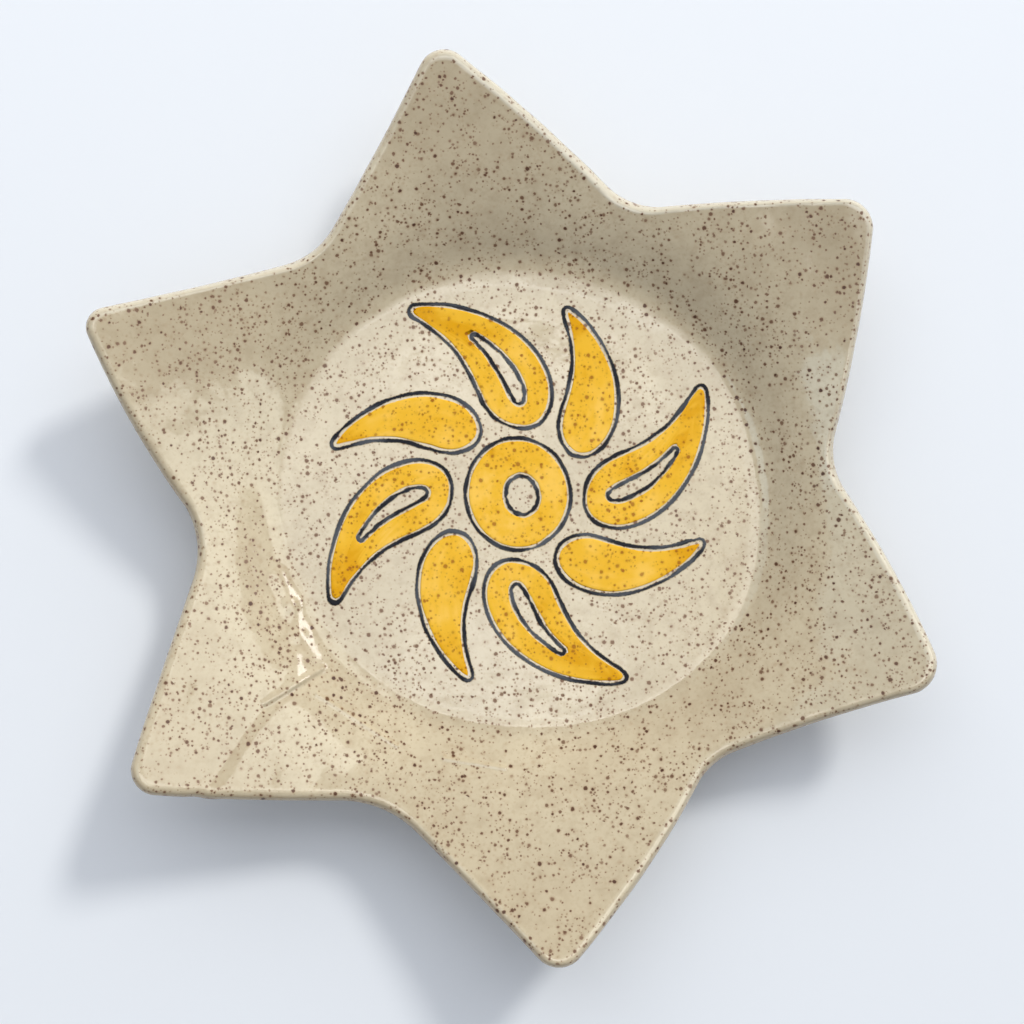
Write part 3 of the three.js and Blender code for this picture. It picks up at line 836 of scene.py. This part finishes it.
def leaf_field(name, contour, draw):
    """A field without a hole. Each cut across the flame runs on top from its right side to its left
    and back underneath, and the cuts follow each other from root to tip."""
    stations = np.arccos(np.linspace(1, -1, FIELD_SAMPLES // 2)[1:-1])
    sides = []
    for turn in (stations, 2 * np.pi - stations):
        shift = np.sin(stations) * (AMBER_OVER_GAP + 0.22 * brush_wander(turn, draw))
        sides.append(contour(turn) + outward_of(contour, turn) * shift[:, None])
    width = np.linalg.norm(sides[1] - sides[0], axis=1)
    share = np.concatenate([np.linspace(0, 1, FIELD_ACROSS), np.linspace(1, 0, FIELD_UNDER)[1:-1]])
    plan = sides[0][:, None] + share[:, None] * (sides[1] - sides[0])[:, None]
    margin = np.minimum(share, 1 - share) * width[:, None]
    rise = np.where(np.arange(len(share)) < FIELD_ACROSS, field_rise(margin), -AMBER_SINK * 2)
    ends = over_floor(contour(np.array([0.0, np.pi])), -AMBER_SINK)
    body = over_floor(plan, rise).reshape(-1, 3)
    made = mesh_object(name, np.vstack([ends, body]), [
        ring_faces(len(stations), len(share), first=2), *pole_faces(len(stations), len(share))])
    store(made, "margin", np.concatenate([[0, 0], margin.ravel()]))
    along = np.broadcast_to(((1 - np.cos(stations)) / 2)[:, None], margin.shape).ravel()
    return made, np.concatenate([[0, 1], along])


amber_glaze, tree, shader, point = new_material("brushed_amber_glaze", AMBER_ROUGHNESS)
shader.inputs["Specular IOR Level"].default_value = AMBER_SPECULAR
clay = shader_node(tree, "ShaderNodeGroup", {"Point": point}, node_tree=stoneware_colour)
margin = kept(tree, "margin")
streaks = cloud(tree, kept(tree, "brush", "Vector"), 0.0022, 3.0)
patches = cloud(tree, point, 0.010, 3.0)
thick = calc(tree, "MULTIPLY_ADD", streaks, 0.35, calc(tree, "MULTIPLY", patches, 0.65))
thick = calc(tree, "MULTIPLY_ADD", kept(tree, "pool"), 0.22, thick)
colour = mixed(tree, s_curve(tree, thick, 0.34, 0.56), AMBER_PALE, AMBER)
colour = mixed(tree, s_curve(tree, thick, 0.54, 0.76), colour, AMBER_POOLED)
specks = shader_node(tree, "ShaderNodeGroup", {"Point": point}, node_tree=iron_speckle)
stained = calc(tree, "MULTIPLY", specks.outputs["Stain"], 0.22)
colour = mixed(tree, stained, colour, AMBER_IRON)
colour = mixed(tree, calc(tree, "MULTIPLY", specks.outputs["Speck"], 0.85), colour, AMBER_IRON)
ragged = calc(tree, "MULTIPLY_ADD", calc(tree, "SUBTRACT", cloud(tree, point, 0.0011), 0.5),
              0.5, margin)
covered = s_curve(tree, ragged, 0.05, 0.40)
tree.links.new(mixed(tree, covered, clay.outputs["Colour"], colour), shader.inputs["Base Color"])
add_clear_glaze(tree, shader, point, clay.outputs["Speck"])


def finish_field(piece, node, along, ray):
    """Keeps the brush's direction, along the flame's middle line, and where the glaze gathered
    towards the flame's tip, and dresses the field. The centre is no ray, and has neither."""
    count = len(piece.data.vertices)
    place = np.empty(count * 3)
    piece.data.vertices.foreach_get("co", place)
    place = place.reshape(-1, 3) - np.array([well_middle.x, well_middle.y, 0.0])
    radius = np.hypot(place[:, 0], place[:, 1])
    if ray is None:
        store(piece, "brush", place)
        store(piece, "pool", np.zeros(count))
    else:
        swirl = RAY_SWIRL * (along**RAY_SWIRL_POWER - RAY_LEAN)
        angle = np.arctan2(place[:, 1], place[:, 0]) - math.pi / 2 - ray * RAY_STEP - swirl
        across = (np.mod(angle + math.pi, 2 * math.pi) - math.pi) * radius
        store(piece, "brush", np.stack([radius * 0.25, across, np.zeros(count)], axis=1))
        store(piece, "pool", np.clip((along - 0.62) / 0.38, 0, 1))
    finish_piece(piece, amber_glaze, node)


centre, eye = oval((0, 0), CENTRE_R, CENTRE_OVAL), oval(EYE_SHIFT, EYE_R, EYE_OVAL)
centre_field, along = ring_field("painted_centre", centre, eye, np.random.default_rng(40))
finish_field(centre_field, "amber_centre", along, None)
for ray in range(RAYS):
    draw = np.random.default_rng(50 + ray)
    name = "painted_ray_%d" % (ray + 1)
    if ray % 2 == 0:
        made, along = ring_field(name, flame(ray, LONG_RAY_HALF_W),
                                 flame(ray, SLIT_HALF_W, SLIT_SPAN), draw)
    else:
        made, along = leaf_field(name, flame(ray, SHORT_RAY_HALF_W), draw)
    finish_field(made, "amber_ray_%d" % (ray + 1), along, ray)

# Every field and bare patch has an outline of dark blue, drawn with a loaded pointed brush over the
# raw glaze. It is near black where the brush was full, and watery blue-grey where it ran dry.
LINE_RISE = 0.16
LINE_SINK = 0.05
LINE_FADE = 0.36
LINE_ACROSS, LINE_UNDER = 9, 5
LINE_SAMPLES = 320
LINE_ROUGHNESS, LINE_SPECULAR = 0.12, 0.12
INK = (0.006, 0.0065, 0.012, 1)
INK_WATERY = (0.075, 0.083, 0.098, 1)

line_glaze, tree, shader, point = new_material("brushed_blue_line", LINE_ROUGHNESS)
shader.inputs["Specular IOR Level"].default_value = LINE_SPECULAR
clay = shader_node(tree, "ShaderNodeGroup", {"Point": point}, node_tree=stoneware_colour)
brush = kept(tree, "brush", "Vector")
load = calc(tree, "MULTIPLY_ADD", cloud(tree, brush, 0.0030, 2.0), 0.45, kept(tree, "load"))
colour = mixed(tree, s_curve(tree, load, 0.42, 0.80), INK_WATERY, INK)
ragged = calc(tree, "MULTIPLY_ADD", calc(tree, "SUBTRACT", cloud(tree, point, 0.0007), 0.5),
              0.55, kept(tree, "margin"))
inked = s_curve(tree, ragged, 0.02, 0.02 + LINE_FADE)
tree.links.new(mixed(tree, inked, clay.outputs["Colour"], colour), shader.inputs["Base Color"])
tree.links.new(s_curve(tree, inked, 0.0, 1.0, 0.10, 0.40), shader.inputs["Roughness"])
add_clear_glaze(tree, shader, point, clay.outputs["Speck"])


def brushed_outline(name, contour, distance, node, seed):
    """A line that starts at a distance outside the contour: a band whose middle and width wander,
    low and round on top. Each cut runs on top from the inside out and back underneath."""
    draw = np.random.default_rng(seed)
    turn, length = even_turns(contour, distance + LINE_W / 2, LINE_SAMPLES)
    wander = brush_wander(turn, draw, 2, 20)
    middle = distance + LINE_W / 2 + 0.20 * wander
    half = LINE_W / 2 * (1.0 + 0.30 * brush_wander(turn, draw, 3, 18))
    across = np.concatenate([np.linspace(-1, 1, LINE_ACROSS),
                             np.linspace(1, -1, LINE_UNDER)[1:-1]])
    off = middle + across[:, None] * half
    plan = contour(turn) + outward_of(contour, turn) * off[..., None]
    dome = LINE_RISE * np.sqrt(1 - np.linspace(-1, 1, LINE_ACROSS)**2) - LINE_SINK
    rise = np.concatenate([dome, np.full(LINE_UNDER - 2, -LINE_SINK * 2)])[:, None]
    rise = rise * np.ones(len(turn))
    made = mesh_object(name, over_floor(plan, rise).reshape(-1, 3),
                       [ring_faces(len(across), len(turn), closed=True)])
    store(made, "margin", ((1 - np.abs(across))[:, None] * half).ravel())
    loaded = 0.45 + 0.34 * brush_wander(turn, draw, 1, 9)
    store(made, "load", np.broadcast_to(loaded, plan.shape[:2]).ravel())
    spread = length * MM / (2 * np.pi)
    phase = np.linspace(0, 2 * np.pi, len(turn), endpoint=False)
    brush = np.stack([np.broadcast_to(spread * np.cos(phase), plan.shape[:2]),
                      np.broadcast_to(spread * np.sin(phase), plan.shape[:2]),
                      np.broadcast_to(across[:, None] * 0.004, plan.shape[:2])], axis=-1)
    store(made, "brush", brush.reshape(-1, 3))
    finish_piece(made, line_glaze, node)


brushed_outline("centre_line", centre, LINE_GAP, "centre_outline", 70)
brushed_outline("eye_line", eye, 0.0, "eye_outline", 71)
for ray in range(RAYS):
    body = flame(ray, SHORT_RAY_HALF_W if ray % 2 else LONG_RAY_HALF_W)
    brushed_outline("ray_line_%d" % (ray + 1), body, LINE_GAP, "ray_outline_%d" % (ray + 1),
                    72 + ray)
for ray in range(0, RAYS, 2):
    brushed_outline("slit_line_%d" % (ray + 1), flame(ray, SLIT_HALF_W, SLIT_SPAN), 0.0,
                    "slit_outline_%d" % (ray + 1), 80 + ray)
